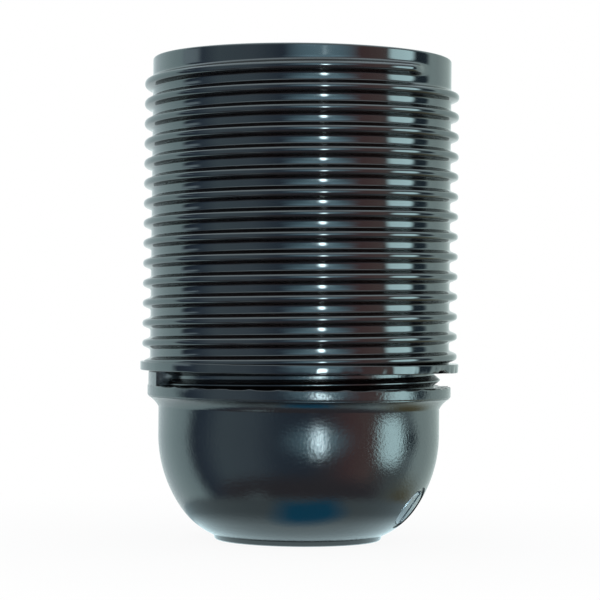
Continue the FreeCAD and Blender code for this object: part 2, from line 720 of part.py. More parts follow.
def make_parts():
    """Every sub-part of the holder, from the dome up."""
    parts = [make_dome(), make_entry_bush(), make_locking_screw(), make_contact_block()]
    parts += [make_centre_contact(), make_side_contact()]
    for side, name in ((-1, "centre"), (1, "side")):
        parts += [make_rivet(f"{name}_rivet", side), make_terminal(f"{name}_terminal", side)]
        parts += [make_terminal_screw(f"{name}_terminal_screw", side), make_clamp(f"{name}_clamp", side)]
    parts.append(make_threaded_sleeve())
    return parts


def check_document():
    """Stop if any object of the document failed."""
    for item in doc.Objects:
        if "Invalid" in item.State or "Error" in item.State:
            raise RuntimeError(f"{item.Label} failed: {item.State}")


def main():
    """Build every sub-part, check it and write its STEP file."""
    parts = make_parts()
    doc.recompute()
    check_document()
    os.makedirs("parts", exist_ok=True)
    for part in parts:
        shape = part.Shape
        if shape.isNull() or not shape.isValid():
            raise RuntimeError(f"{part.Label} has no valid shape")
        shape.exportStep(f"parts/{part.Label}.step")
        print(f"{part.Label}: {len(shape.Solids)} solid, {shape.Volume:.1f} mm3")


main()
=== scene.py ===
"""Dresses the lamp holder: smooth moulded shells, plated fittings, a steatite insert and a plain studio.

Sizes are millimetres until a mesh is made, and the frame's metres after that.
"""
from __future__ import annotations

import json
import logging
import math
from dataclasses import dataclass
from enum import Enum
from typing import Iterable, Sequence

import bmesh
import bpy
from bmesh.types import BMEdge, BMesh, BMVert
from bpy.types import Material, Mesh, Node, NodeSocket, NodeTree, Object
from mathutils import Matrix, Vector

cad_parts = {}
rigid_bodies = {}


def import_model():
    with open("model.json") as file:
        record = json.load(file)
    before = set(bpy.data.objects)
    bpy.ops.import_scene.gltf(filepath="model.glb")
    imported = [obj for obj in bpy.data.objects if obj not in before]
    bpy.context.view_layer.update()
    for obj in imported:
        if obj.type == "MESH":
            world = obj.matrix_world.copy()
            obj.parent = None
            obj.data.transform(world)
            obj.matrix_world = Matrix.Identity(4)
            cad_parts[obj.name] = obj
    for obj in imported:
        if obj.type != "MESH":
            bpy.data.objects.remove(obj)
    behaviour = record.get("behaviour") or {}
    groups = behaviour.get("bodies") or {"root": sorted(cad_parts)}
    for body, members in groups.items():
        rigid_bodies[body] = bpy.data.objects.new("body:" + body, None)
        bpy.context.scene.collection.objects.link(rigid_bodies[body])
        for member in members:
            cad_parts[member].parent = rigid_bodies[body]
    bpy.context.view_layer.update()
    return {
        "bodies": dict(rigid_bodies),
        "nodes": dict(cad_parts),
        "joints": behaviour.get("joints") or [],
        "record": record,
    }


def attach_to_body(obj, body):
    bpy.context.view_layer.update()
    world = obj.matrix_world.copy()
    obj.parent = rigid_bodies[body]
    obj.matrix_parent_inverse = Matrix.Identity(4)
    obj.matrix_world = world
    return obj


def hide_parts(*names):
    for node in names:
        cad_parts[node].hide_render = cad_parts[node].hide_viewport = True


MM = 0.001
WELD = 2e-6  # metres within which two points are one
SHARP_DEGREES = 38.0  # an edge that turns by more stays sharp
LOG = logging.getLogger("lamp_holder")

Point = tuple[float, float]  # radius and height in millimetres


class Hand(Enum):
    """Which side of a wall a thread stands on."""

    OUTSIDE = 1
    INSIDE = -1


# ---------------------------------------------------------------------------------------------
# colour and nodes


def linear(colour: str) -> tuple[float, float, float, float]:
    """Turn an sRGB hex colour to linear.

    Args:
        colour: six hex digits after a hash.

    Returns:
        Red, green, blue and an alpha of one.
    """
    parts = [int(colour[i:i + 2], 16) / 255 for i in (1, 3, 5)]
    low, slope, offset, power = 0.04045, 12.92, 0.055, 2.4
    red, green, blue = (c / slope if c <= low else ((c + offset) / (1 + offset)) ** power for c in parts)
    return red, green, blue, 1.0


def fill(tree: NodeTree, node: Node, settings: dict) -> None:
    """Set a node's attributes and inputs.

    Args:
        tree: the node tree.
        node: the node.
        settings: by name or index, a value or the output socket that feeds the input.
    """
    for key, setting in settings.items():
        if isinstance(setting, NodeSocket):
            tree.links.new(setting, node.inputs[key])
        elif isinstance(key, str) and hasattr(node, key):
            setattr(node, key, setting)
        else:
            node.inputs[key].default_value = setting


def add_node(tree: NodeTree, kind: str, settings: dict | None = None) -> Node:
    """Add a node by its type name without ShaderNode, with its settings."""
    made = tree.nodes.new(f"ShaderNode{kind}")
    fill(tree, made, settings or {})
    return made


def maths(tree: NodeTree, operation: str, *terms: float | NodeSocket) -> NodeSocket:
    """The result of an operation on one or two terms."""
    return add_node(tree, "Math", {"operation": operation, **dict(enumerate(terms))}).outputs[0]


def spread(tree: NodeTree, source: NodeSocket, low: float, high: float,
           to_low: float = 0.0, to_high: float = 1.0, **more: str) -> NodeSocket:
    """Stretch a value's range from low to high over another range, and clamp it there."""
    return add_node(tree, "MapRange", {**more, "Value": source, "From Min": low, "From Max": high,
                                       "To Min": to_low, "To Max": to_high}).outputs[0]


def mixed(tree: NodeTree, share: NodeSocket, first: object, second: object) -> NodeSocket:
    """Mix two colours, values or sockets, by a share."""
    return add_node(tree, "Mix", {"data_type": "RGBA", "Factor": share, 6: first, 7: second}).outputs[2]


def mixed_shader(tree: NodeTree, share: NodeSocket, first: NodeSocket, second: NodeSocket) -> NodeSocket:
    """Mix two shaders by a share."""
    return add_node(tree, "MixShader", {0: share, 1: first, 2: second}).outputs[0]


def light(tree: NodeTree, kind: str, colour: object, strength: float = 1.0) -> NodeSocket:
    """An Emission or a Background of a colour."""
    return add_node(tree, kind, {"Color": colour, "Strength": strength}).outputs[0]


def noise(tree: NodeTree, where: NodeSocket, size: float, detail: float, **more: float) -> NodeSocket:
    """A noise that repeats about every size millimetres."""
    return add_node(tree, "TexNoise", {"Vector": where, "Scale": 1 / (size * MM), "Detail": detail,
                                       **more}).outputs["Fac"]


def bump(tree: NodeTree, height: NodeSocket, depth: float, strength: float = 1.0,
         **more: NodeSocket) -> NodeSocket:
    """The normal of a relief whose depth is in millimetres."""
    return add_node(tree, "Bump", {"Height": height, "Distance": depth * MM, "Strength": strength,
                                   **more}).outputs["Normal"]


@dataclass(frozen=True)
class Finish:
    """What every finish has: a name, a colour and how it takes the light."""

    name: str
    colour: str
    roughness: float

    def shader(self, ior: float, metallic: float) -> tuple[Material, Node, NodeSocket]:
        """Make the material with its principled shader.

        Args:
            ior: index of refraction.
            metallic: 0 for a dielectric and 1 for a metal.

        Returns:
            The material, its shader and the place on the object.
        """
        material = bpy.data.materials.new(self.name)
        material.use_nodes = True
        tree = material.node_tree
        shader = tree.nodes["Principled BSDF"]
        fill(tree, shader, {"Base Color": linear(self.colour), "Roughness": self.roughness,
                            "IOR": ior, "Metallic": metallic})
        return material, shader, add_node(tree, "TexCoord").outputs["Object"]


@dataclass(frozen=True)
class BlackPhenolic(Finish):
    """Compression-moulded black phenolic: deep gloss, a faint orange peel and fine flow mottling."""

    second_colour: str = "#1a1210"
    grain_mm: float = 0.9
    grain_depth_mm: float = 0.0008
    peel_mm: float = 4.0
    peel_depth_mm: float = 0.003
    cloud_mm: float = 14.0

    def material(self) -> Material:
        """Build the material."""
        made, shader, where = self.shader(ior=1.63, metallic=0.0)
        tree = made.node_tree
        grain = noise(tree, where, self.grain_mm, 3.0, Roughness=0.6)
        peel = bump(tree, noise(tree, where, self.peel_mm, 1.0), self.peel_depth_mm)
        fill(tree, shader, {
            "Base Color": mixed(tree, noise(tree, where, self.cloud_mm, 2.0), linear(self.colour),
                                linear(self.second_colour)),
            "Roughness": spread(tree, grain, 0.35, 0.65, self.roughness * 0.8, self.roughness * 1.25),
            "Normal": bump(tree, grain, self.grain_depth_mm, Normal=peel),
        })
        return made


@dataclass(frozen=True)
class PlatedMetal(Finish):
    """Turned or pressed metal under a thin plating: bright, with fine tool lines and dull spots."""

    tool_mm: float = 0.25
    tool_depth_mm: float = 0.004
    spot_mm: float = 2.0

    def material(self) -> Material:
        """Build the material."""
        made, shader, where = self.shader(ior=1.5, metallic=1.0)
        tree = made.node_tree
        spots = noise(tree, where, self.spot_mm, 3.0)
        fill(tree, shader, {
            "Roughness": spread(tree, spots, 0.0, 1.0, self.roughness * 0.7, self.roughness * 1.5),
            "Normal": bump(tree, noise(tree, where, self.tool_mm, 2.0), self.tool_depth_mm, 0.5),
        })
        return made


@dataclass(frozen=True)
class Steatite(Finish):
    """Pressed and fired steatite: warm white, satin, with faint grey specks and a fine tooth."""

    speck_colour: str = "#b9b1a2"
    speck_mm: float = 0.9
    tooth_mm: float = 0.01

    def material(self) -> Material:
        """Build the material."""
        made, shader, where = self.shader(ior=1.58, metallic=0.0)
        tree = made.node_tree
        specks = noise(tree, where, self.speck_mm, 4.0)
        fill(tree, shader, {
            "Base Color": mixed(tree, spread(tree, specks, 0.52, 0.72), linear(self.colour),
                                linear(self.speck_colour)),
            "Normal": bump(tree, specks, self.tooth_mm, 0.6),
        })
        return made


# ---------------------------------------------------------------------------------------------
# meshes


def arc(centre: Point, radius: float, start: float, end: float, steps: int) -> list[Point]:
    """Points of an arc in the section plane.

    Args:
        centre: its centre.
        radius: its radius.
        start: the first point's angle in degrees, from outwards towards up.
        end: the last point's angle in degrees.
        steps: how many spans it has.

    Returns:
        The points from start to end.
    """
    angles = [math.radians(start + (end - start) * i / steps) for i in range(steps + 1)]
    return [(centre[0] + radius * math.cos(a), centre[1] + radius * math.sin(a)) for a in angles]


def chain(mesh: BMesh, points: Sequence[Point], closed: bool = False) -> list:
    """Lay a chain of edges in the section plane.

    Args:
        mesh: the mesh that gets it.
        points: its corners.
        closed: whether the last corner joins the first.

    Returns:
        The vertices and edges, as an operator takes them.
    """
    corners = [mesh.verts.new((radius * MM, 0.0, height * MM)) for radius, height in points]
    pairs = list(zip(corners, corners[1:]))
    if closed:
        pairs.append((corners[-1], corners[0]))
    return corners + [mesh.edges.new(pair) for pair in pairs]


def lathe(points: Sequence[Point], columns: int) -> BMesh:
    """Spin a closed section once round the axis."""
    mesh = bmesh.new()
    section = chain(mesh, points, closed=True)
    bmesh.ops.spin(mesh, geom=section, cent=(0, 0, 0), axis=(0, 0, 1), dvec=(0, 0, 0),
                   angle=2 * math.pi, steps=columns, use_merge=True)
    return mesh


def rounded(corners: Sequence[tuple[Point, float]], steps: int = 3) -> list[Point]:
    """Round the corners of an open chain.

    Args:
        corners: each corner and its radius, which is zero where it stays sharp.
        steps: how many spans each round has.

    Returns:
        The chain's points.
    """
    points: list[Point] = []
    for index, (place, radius) in enumerate(corners):
        if radius == 0.0:
            points.append(place)
            continue
        here = Vector(place)
        back = (Vector(corners[index - 1][0]) - here).normalized()
        ahead = (Vector(corners[index + 1][0]) - here).normalized()
        half = back.angle(ahead) / 2
        centre = here + (back + ahead).normalized() * (radius / math.sin(half))
        start = here + back * (radius / math.tan(half)) - centre
        end = here + ahead * (radius / math.tan(half)) - centre
        points.extend(tuple(centre + start.slerp(end, step / steps) * radius)
                      for step in range(steps + 1))
    return points


@dataclass(frozen=True)
class ThreadForm:
    """One thread: its wall, its ridge and where it runs."""

    pitch: float
    wall_radius: float
    height: float  # how far the ridge or groove departs from the wall
    base_width: float
    crest_width: float
    tip_radius: float
    fillet_radius: float
    start_height: float  # height of the ridge's centre where it starts
    start_angle: float  # degrees
    turns: float
    hand: Hand = Hand.OUTSIDE
    run_in: float = 12.0  # degrees over which it fades in and out

    def section(self) -> list[Point]:
        """One pitch of the wall, from half a pitch below the ridge's centre to half a pitch above."""
        foot, crest, reach = self.base_width / 2, self.crest_width / 2, self.pitch / 2
        corners = [((0.0, -reach), 0.0), ((0.0, -foot), self.fillet_radius),
                   ((self.height, -crest), self.tip_radius), ((self.height, crest), self.tip_radius),
                   ((0.0, foot), self.fillet_radius), ((0.0, reach), 0.0)]
        return [(self.wall_radius + self.hand.value * out, up) for out, up in rounded(corners)]

    def progress(self, angle: float, height: float) -> float:
        """How far along the thread a point of the wall lies, in turns from its start."""
        away = (angle - math.radians(self.start_angle)) / (2 * math.pi)
        return away + round((height - self.start_height) / self.pitch - away)

    def strength(self, angle: float, height: float) -> float:
        """How much of the ridge's height a point has: all of it between its two ends."""
        along = self.progress(angle, height)
        fade = self.run_in / 360
        ramp = min(along / fade, (self.turns - along) / fade, 1.0)
        ramp = max(ramp, 0.0)
        return ramp * ramp * (3 - 2 * ramp)


def wound_wall(form: ThreadForm, low: float, high: float, columns: int) -> BMesh:
    """Wind one pitch of a threaded wall up the axis, with flat rings at both ends.

    Args:
        form: the thread.
        low: height of the bottom ring.
        high: height of the top ring.
        columns: how many columns a turn has.

    Returns:
        The open wall.
    """
    mesh = bmesh.new()
    shift = form.start_angle / 360 * form.pitch
    first = form.start_height - shift
    below = math.ceil((first - low) / form.pitch) + 1
    above = math.ceil((high - first) / form.pitch) + 1
    section = [(radius, up + first - below * form.pitch) for radius, up in form.section()]
    bmesh.ops.spin(mesh, geom=chain(mesh, section), cent=(0, 0, 0), axis=(0, 0, 1),
                   dvec=(0, 0, form.pitch * MM / columns), angle=2 * math.pi, steps=columns,
                   use_merge=False)
    turn = mesh.verts[:] + mesh.edges[:] + mesh.faces[:]
    for index in range(1, below + above):
        copied = bmesh.ops.duplicate(mesh, geom=turn)["geom"]
        bmesh.ops.translate(mesh, vec=(0, 0, form.pitch * MM * index),
                            verts=only(copied, BMVert))
    bmesh.ops.remove_doubles(mesh, verts=mesh.verts, dist=WELD)
    for vert in mesh.verts:
        radius = math.hypot(vert.co.x, vert.co.y) / MM
        angle = math.atan2(vert.co.y, vert.co.x)
        kept = form.strength(angle, vert.co.z / MM)
        place_vert(vert, form.wall_radius + (radius - form.wall_radius) * kept, vert.co.z / MM)
    for height, side in ((low, -1), (high, 1)):
        bmesh.ops.bisect_plane(mesh, geom=mesh.verts[:] + mesh.edges[:] + mesh.faces[:], dist=WELD / 4,
                               plane_co=(0, 0, height * MM), plane_no=(0, 0, side), clear_outer=True)
    return mesh


def only(items: Iterable, kind: type) -> list:
    """The items of one kind, such as the vertices that an operator gave back."""
    return [item for item in items if isinstance(item, kind)]


def polar(vert: BMVert) -> tuple[float, float, float]:
    """A vertex's radius and height in millimetres, and its angle in radians."""
    return vert.co.xy.length / MM, vert.co.z / MM, math.atan2(vert.co.y, vert.co.x)


def place_vert(vert: BMVert, radius: float, height: float) -> None:
    """Move a vertex to a radius and a height, keeping its angle."""
    flat = Vector((vert.co.x, vert.co.y, 0)).normalized()
    vert.co = flat * (radius * MM)
    vert.co.z = height * MM


def ring_at(mesh: BMesh, height: float) -> list[BMEdge]:
    """The open edges of a mesh that lie at a height."""
    level = height * MM
    return [edge for edge in mesh.edges
            if edge.is_boundary and all(abs(vert.co.z - level) < WELD for vert in edge.verts)]


def carry(mesh: BMesh, ring: list, points: Iterable[Point]) -> list:
    """Extrude a ring of edges through a series of radii and heights.

    Args:
        mesh: the mesh.
        ring: the ring's edges.
        points: where each new ring goes.

    Returns:
        The last ring's edges.
    """
    for radius, height in points:
        grown = bmesh.ops.extrude_edge_only(mesh, edges=ring)["geom"]
        fresh = set(only(grown, BMVert))
        for vert in fresh:
            place_vert(vert, radius, height)
        ring = [edge for edge in only(grown, BMEdge) if all(vert in fresh for vert in edge.verts)]
    return ring


def join_rings(mesh: BMesh, first: list, second: list) -> None:
    """Bridge two rings."""
    bmesh.ops.bridge_loops(mesh, edges=first + second)


def baked(name: str, mesh: BMesh) -> Mesh:
    """Turn a mesh into data that an object can hold, and free it."""
    data = bpy.data.meshes.new(name)
    mesh.to_mesh(data)
    mesh.free()
    return data


def linked(name: str, data: bpy.types.ID) -> Object:
    """Put data into the scene as an object."""
    made = bpy.data.objects.new(name, data)
    bpy.context.scene.collection.objects.link(made)
    return made


def merged(target: BMesh, other: BMesh) -> None:
    """Add another mesh to a mesh and free it."""
    scratch = baked("scratch", other)
    target.from_mesh(scratch)
    bpy.data.meshes.remove(scratch)


def ripple(angle: float, seed: float, waves: Sequence[int] = (7, 17, 41, 83),
           phase: float = 1.7, calm: float = 2.0) -> float:
    """A rough edge's height round the axis, from -1 to 1, the same on every run."""
    total = sum(math.sin(wave * angle + seed * (index + 1) * phase) / (index + 1)
                for index, wave in enumerate(waves))
    return total / calm


def finished(name: str, mesh: BMesh, material: Material) -> Object:
    """Make an object of a mesh: normals outwards, smooth, with its real corners kept.

    Args:
        name: the object's name.
        mesh: its mesh, which is freed.
        material: its finish.

    Returns:
        The object, linked to the scene.
    """
    bmesh.ops.remove_doubles(mesh, verts=mesh.verts, dist=WELD)
    bmesh.ops.dissolve_degenerate(mesh, dist=WELD / 4, edges=mesh.edges)
    bmesh.ops.recalc_face_normals(mesh, faces=mesh.faces)
    data = baked(name, mesh)
    data.shade_smooth()
    data.set_sharp_from_angle(angle=math.radians(SHARP_DEGREES))
    data.materials.append(material)
    return linked(name, data)


def attach(target: Object, mesh: BMesh) -> None:
    """Add a closed shape to a finished object, smooth and with its faces outwards."""
    bmesh.ops.recalc_face_normals(mesh, faces=mesh.faces)
    for face in mesh.faces:
        face.smooth = True
    whole = bmesh.new()
    whole.from_mesh(target.data)
    merged(whole, mesh)
    whole.to_mesh(target.data)
    whole.free()


def carve(target: Object, tools: Sequence[Object]) -> None:
    """Cut closed shapes out of an object and remove them.

    Args:
        target: the object that is cut.
        tools: the shapes that cut it.
    """
    for tool in tools:
        cut = target.modifiers.new("cut", "BOOLEAN")
        cut.operation = "DIFFERENCE"
        cut.solver = "EXACT"
        cut.object = tool
    graph = bpy.context.evaluated_depsgraph_get()
    carved = bpy.data.meshes.new_from_object(target.evaluated_get(graph))
    target.modifiers.clear()
    old, target.data = target.data, carved
    bpy.data.meshes.remove(old)
    for tool in tools:
        bpy.data.objects.remove(tool)


# ---------------------------------------------------------------------------------------------
# sub-assemblies


@dataclass
class Sleeve:
    """The moulded sleeve: threaded barrel, stop ring, collar, mouth and the lamp's inner tube."""

    low: float = 21.1
    top: float = 60.2
    ring_radius: float = 20.0
    ring_top: float = 22.2
    mouth_radius: float = 14.0
    bore_radius: float = 17.05
    web_low: float = 56.0
    tube_top: float = 56.9
    tube_low: float = 27.5
    tube_outer: float = 15.0
    tube_bore: float = 13.4
    smooth_top: float = 34.6
    rounding: float = 0.25
    groove_top: float = 30.0
    web_step: float = 0.5  # how much wider than the mouth the web starts
    foot_step: float = 0.4
    ring_corner: float = 0.12
    ring_depth: float = 1.6
    torn_angle: float = -20.0  # degrees, where the ring's lower edge is torn the most
    torn_height: float = 0.5
    trimmed_low: float = 0.06
    trimmed_top: float = 0.03
    torn_inwards: float = 0.4  # how far a torn spot runs inwards, as a share of its height
    lead_height: float = 0.9
    lead_slope: float = 1.8
    columns: int = 180

    def barrel_thread(self) -> ThreadForm:
        """The shade-ring thread outside."""
        return ThreadForm(pitch=2.5, wall_radius=18.78, height=1.0, base_width=1.5, crest_width=0.66,
                          tip_radius=0.42, fillet_radius=0.34, start_height=21.9, start_angle=180.0,
                          turns=14.4)

    def neck_thread(self) -> ThreadForm:
        """The groove that runs on the neck's ridge."""
        return ThreadForm(pitch=1.75, wall_radius=self.bore_radius, height=0.75, base_width=1.6,
                          crest_width=0.4, tip_radius=0.08, fillet_radius=0.05, start_height=18.45,
                          start_angle=0.0, turns=4.6)

    def lamp_thread(self) -> ThreadForm:
        """The E27 thread in the inner tube."""
        return ThreadForm(pitch=3.629, wall_radius=12.25, height=1.1, base_width=2.9, crest_width=1.0,
                          tip_radius=0.7, fillet_radius=0.5, start_height=33.571, start_angle=0.0,
                          turns=8.0)

    def barrel(self) -> BMesh:
        """The outer wall with its thread, carried over the collar into the mouth and down inside."""
        form = self.barrel_thread()
        outer = wound_wall(form, self.low, self.top - self.rounding, self.columns)
        groove = wound_wall(self.neck_thread(), self.low, self.groove_top, self.columns)
        merged(outer, groove)
        crown = ring_at(outer, self.top - self.rounding)
        edge = form.wall_radius - self.rounding
        lip = arc((edge, self.top - self.rounding), self.rounding, 0, 90, 4)[1:]
        inner_lip = arc((self.mouth_radius + self.rounding, self.top - self.rounding), self.rounding,
                        90, 180, 4)
        crown = carry(outer, crown, lip + inner_lip + [
            (self.mouth_radius, self.tube_top),
            (self.mouth_radius + self.web_step, self.tube_top),
            (self.mouth_radius + self.web_step, self.web_low),
            (self.bore_radius, self.web_low),
        ])
        join_rings(outer, crown, ring_at(outer, self.groove_top))
        foot = ring_at(outer, self.low)
        middle = (form.wall_radius + self.bore_radius) / 2
        outside = [edge for edge in foot if edge.verts[0].co.xy.length > middle * MM]
        inside = [edge for edge in foot if edge.verts[0].co.xy.length <= middle * MM]
        outside = carry(outer, outside, [(form.wall_radius - self.foot_step, self.low)])
        join_rings(outer, outside, inside)
        return outer

    def ring(self) -> BMesh:
        """The stop ring, with the rough edges that trimming the flash left."""
        corner, inner = self.ring_corner, self.ring_radius - self.ring_depth
        edge, middle = self.ring_radius - corner, (self.low + self.ring_top) / 2
        points = [(inner, self.low), *arc((edge, self.low + corner), corner, -90, 0, 3),
                  *arc((edge, self.ring_top - corner), corner, 0, 90, 3), (inner, self.ring_top)]
        mesh = lathe(points, 2 * self.columns)
        for vert in mesh.verts:
            radius, height, angle = polar(vert)
            if radius < (inner + self.ring_radius) / 2:
                continue
            torn = max(math.cos(angle - math.radians(self.torn_angle)), 0.0) ** 3
            if height < middle:
                lift = (self.trimmed_low + self.torn_height * torn) * ripple(angle, 3.0)
                height += max(lift, 0)
            else:
                lift = self.trimmed_top * ripple(angle, 5.0)
                height -= max(lift, 0)
            place_vert(vert, radius - abs(lift) * self.torn_inwards, height)
        return mesh

    def lamp_tube(self) -> BMesh:
        """The inner tube with the lamp's thread, open at both ends."""
        form = self.lamp_thread()
        mesh = wound_wall(form, self.tube_low, self.tube_top, self.columns)
        step = self.tube_bore - form.wall_radius
        for vert in mesh.verts:
            radius, height, _ = polar(vert)
            below = min(max(self.smooth_top + step - height, 0.0), step)
            if height < self.smooth_top:
                radius = self.tube_bore
            above = max(height - (self.tube_top - self.lead_height), 0.0) * self.lead_slope
            place_vert(vert, max(radius, form.wall_radius + below, form.wall_radius + above), height)
        top = carry(mesh, ring_at(mesh, self.tube_top), [(self.tube_outer, self.tube_top)])
        low = carry(mesh, ring_at(mesh, self.tube_low), [(self.tube_outer, self.tube_low)])
        join_rings(mesh, top, low)
        return mesh

    def build(self, finish: BlackPhenolic) -> Object:
        """Make the sleeve, ride it and hide the plain solid."""
        mesh = self.barrel()
        merged(mesh, self.ring())
        merged(mesh, self.lamp_tube())
        piece = finished("sleeve_shell", mesh, finish.material())
        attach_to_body(piece, "sleeve")
        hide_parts("threaded_sleeve")
        return piece


@dataclass
class Dome:
    """The moulded base: dome, cord boss, cove, rim, threaded neck and the locking screw's slanted hole."""

    radius: float = 17.65
    shoulder_height: float = 13.2
    shoulder_radius: float = 16.2
    shoulder_angle: float = 34.7
    boss_radius: float = 10.4
    boss_height: float = 0.5
    boss_flare: float = 0.2
    boss_edge: float = 0.12
    boss_bulge: float = 0.06
    boss_chamfer: float = 0.1
    cove_height: float = 16.5
    cove_bow: float = 0.6  # 0 for a quarter-round hollow and 1 for a straight slope
    rim_low: float = 17.9
    rim_top: float = 19.2
    rim_radius: float = 19.05
    rim_rounding: float = 0.2
    lug_radius: float = 18.95
    lug_top: float = 21.0
    lug_half_angle: float = 22.0
    lug_root: float = 0.4
    lug_sink: float = 0.2
    lug_edge: float = 0.12
    neck_radius: float = 16.95
    neck_top: float = 25.5
    neck_land: float = 0.3
    bore_radius: float = 14.6
    bowl_low: float = 10.0
    bowl_round: float = 8.5
    pillar_radius: float = 8.3
    pillar_top: float = 14.5
    guide_radius: float = 5.2
    floor: float = 3.2
    keyway_half: float = 1.4
    keyway_reach: float = 15.5
    keyway_low: float = 15.5
    keyway_rise: float = 12.0
    bush_radius: float = 6.5
    bush_top: float = 6.8
    columns: int = 240
    flash_mm: float = 0.16
    flash_waves: tuple[int, ...] = (31, 73, 97, 113)
    flash_share: float = 0.15  # how much more of the rim has flash than has none
    flash_outwards: float = 0.25

    def lower_arc(self) -> tuple[Point, float]:
        """Centre and radius of the lower arc, which meets the boss and runs tangent to the upper arc."""
        lean = math.radians(self.shoulder_angle)
        centre = (self.radius - self.shoulder_radius, self.shoulder_height)
        joint = (centre[0] + self.shoulder_radius * math.cos(lean),
                 centre[1] - self.shoulder_radius * math.sin(lean))
        way = (-math.cos(lean), math.sin(lean))
        foot = (self.boss_radius, self.boss_height)
        gap = (joint[0] - foot[0], joint[1] - foot[1])
        size = -(gap[0] ** 2 + gap[1] ** 2) / (2 * (gap[0] * way[0] + gap[1] * way[1]))
        return (joint[0] + way[0] * size, joint[1] + way[1] * size), size

    def outer_skin(self) -> list[Point]:
        """The outside from the rim's top edge down the cove and the dome to the cord boss."""
        lean = self.shoulder_angle
        centre, size = self.lower_arc()
        foot = math.degrees(math.atan2(self.boss_height - centre[1],
                                       self.boss_radius + self.boss_flare - centre[0]))
        rounding = self.rim_rounding
        cove = self.rim_low - self.cove_height
        reach = self.rim_radius - self.radius
        hollow = []
        for across, up in arc((1.0, 0.0), 1.0, 180, 90, 10):
            bow = self.cove_bow * (up - across) / 2
            hollow.append((self.radius + reach * (across + bow), self.cove_height + cove * (up - bow)))
        upper = (self.radius - self.shoulder_radius, self.shoulder_height)
        return [
            *arc((self.rim_radius - rounding, self.rim_top - rounding), rounding, 90, 0, 4),
            *arc((self.rim_radius - rounding, self.rim_low + rounding), rounding, 0, -80, 4),
            *reversed(hollow[:-1]),
            *arc(upper, self.shoulder_radius, 0, -lean, 28),
            *arc(centre, size, -lean, foot, 24)[1:],
            (self.boss_radius + self.boss_bulge, self.boss_edge),
            (self.boss_radius - self.boss_chamfer, 0.0),
        ]

    def neck_thread(self) -> ThreadForm:
        """The coarse ridge on the neck that the sleeve screws on."""
        return ThreadForm(pitch=1.75, wall_radius=self.neck_radius, height=0.75, base_width=1.35,
                          crest_width=0.14, tip_radius=0.05, fillet_radius=0.05, start_height=18.45,
                          start_angle=0.0, turns=3.57)

    def shell(self) -> BMesh:
        """The whole moulding before its slanted hole and keyways are cut."""
        mesh = wound_wall(self.neck_thread(), self.rim_top, self.neck_top, self.columns)
        inside = [(self.neck_radius - self.neck_land, self.neck_top), (self.bore_radius, self.neck_top)]
        inside += self.bowl()
        inside += [(self.pillar_radius, self.floor), (self.pillar_radius, self.pillar_top),
                   (self.guide_radius, self.pillar_top), (self.guide_radius, self.bush_top),
                   (self.bush_radius, self.bush_top), (self.bush_radius, 0.0)]
        top = carry(mesh, ring_at(mesh, self.neck_top), inside)
        low = carry(mesh, ring_at(mesh, self.rim_top), self.outer_skin())
        join_rings(mesh, low, top)
        return mesh

    def bowl(self) -> list[Point]:
        """The inside wall, from the bore down its round to the floor."""
        start, end = Vector((self.bore_radius, self.bowl_low)), Vector((self.pillar_radius, self.floor))
        chord = start - end
        side = Vector((-chord.y, chord.x)).normalized()
        reach = math.sqrt(max(self.bowl_round ** 2 - (chord.length / 2) ** 2, 0.0))
        centre = (start + end) / 2 + side * reach
        first = math.degrees(math.atan2(start.y - centre.y, start.x - centre.x))
        last = math.degrees(math.atan2(end.y - centre.y, end.x - centre.x))
        return arc((centre.x, centre.y), self.bowl_round, first, last, 16)[:-1]

    def build(self, finish: BlackPhenolic, lock: "LockingScrew") -> Object:
        """Make the dome, ride it and hide the plain solid."""
        mesh = self.shell()
        self.roughen_rim(mesh)
        piece = finished("dome_shell", mesh, finish.material())
        carve(piece, [lock.hole(), lock.relief(), *self.keyways()])
        attach(piece, self.stop_lug())
        piece.data.set_sharp_from_angle(angle=math.radians(SHARP_DEGREES))
        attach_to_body(piece, "dome_body")
        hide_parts("dome")
        return piece

    def roughen_rim(self, mesh: BMesh) -> None:
        """Raise a crumbly line of flash along the rim's top edge."""
        near = 0.01
        edge_low = self.rim_top - self.rim_rounding - near
        edge_in = self.rim_radius - self.rim_rounding - near
        for vert in mesh.verts:
            radius, height, angle = polar(vert)
            if radius < edge_in or not edge_low < height < self.rim_top + near:
                continue
            crumb = max(ripple(angle, 2.0, self.flash_waves) + self.flash_share, 0.0)
            rise = self.flash_mm * crumb * (height - edge_low) / self.rim_rounding
            place_vert(vert, radius + self.flash_outwards * rise, height + rise)

    def stop_lug(self) -> BMesh:
        """The lug on the rim's left that the sleeve's foot comes down on, a closed shape of its own."""
        low, inner = self.rim_top - self.lug_root, self.neck_radius - self.lug_sink
        edge = self.lug_edge
        section = [(inner, low), (self.lug_radius, low), (self.lug_radius, self.lug_top - edge),
                   (self.lug_radius - edge, self.lug_top), (inner, self.lug_top)]
        mesh = bmesh.new()
        start = math.radians(180 - self.lug_half_angle)
        first = chain(mesh, section, closed=True)
        bmesh.ops.rotate(mesh, cent=(0, 0, 0), matrix=Matrix.Rotation(start, 3, "Z"),
                         verts=only(first, BMVert))
        spun = bmesh.ops.spin(mesh, geom=first, cent=(0, 0, 0), axis=(0, 0, 1), dvec=(0, 0, 0),
                              angle=math.radians(2 * self.lug_half_angle), steps=24, use_merge=False)
        join_cap(mesh, only(first, BMEdge))
        join_cap(mesh, only(spun["geom_last"], BMEdge))
        return mesh

    def keyways(self) -> list[Object]:
        """The shapes that cut the two keyways across the neck's bore."""
        size = (2 * self.keyway_half, 2 * self.keyway_reach, self.keyway_rise)
        return [cutter("keyway", box(size, self.keyway_low + self.keyway_rise / 2))]


def cutter(name: str, mesh: BMesh) -> Object:
    """Make a closed shape an object that a Boolean can use."""
    bmesh.ops.recalc_face_normals(mesh, faces=mesh.faces)
    return linked(name, baked(name, mesh))


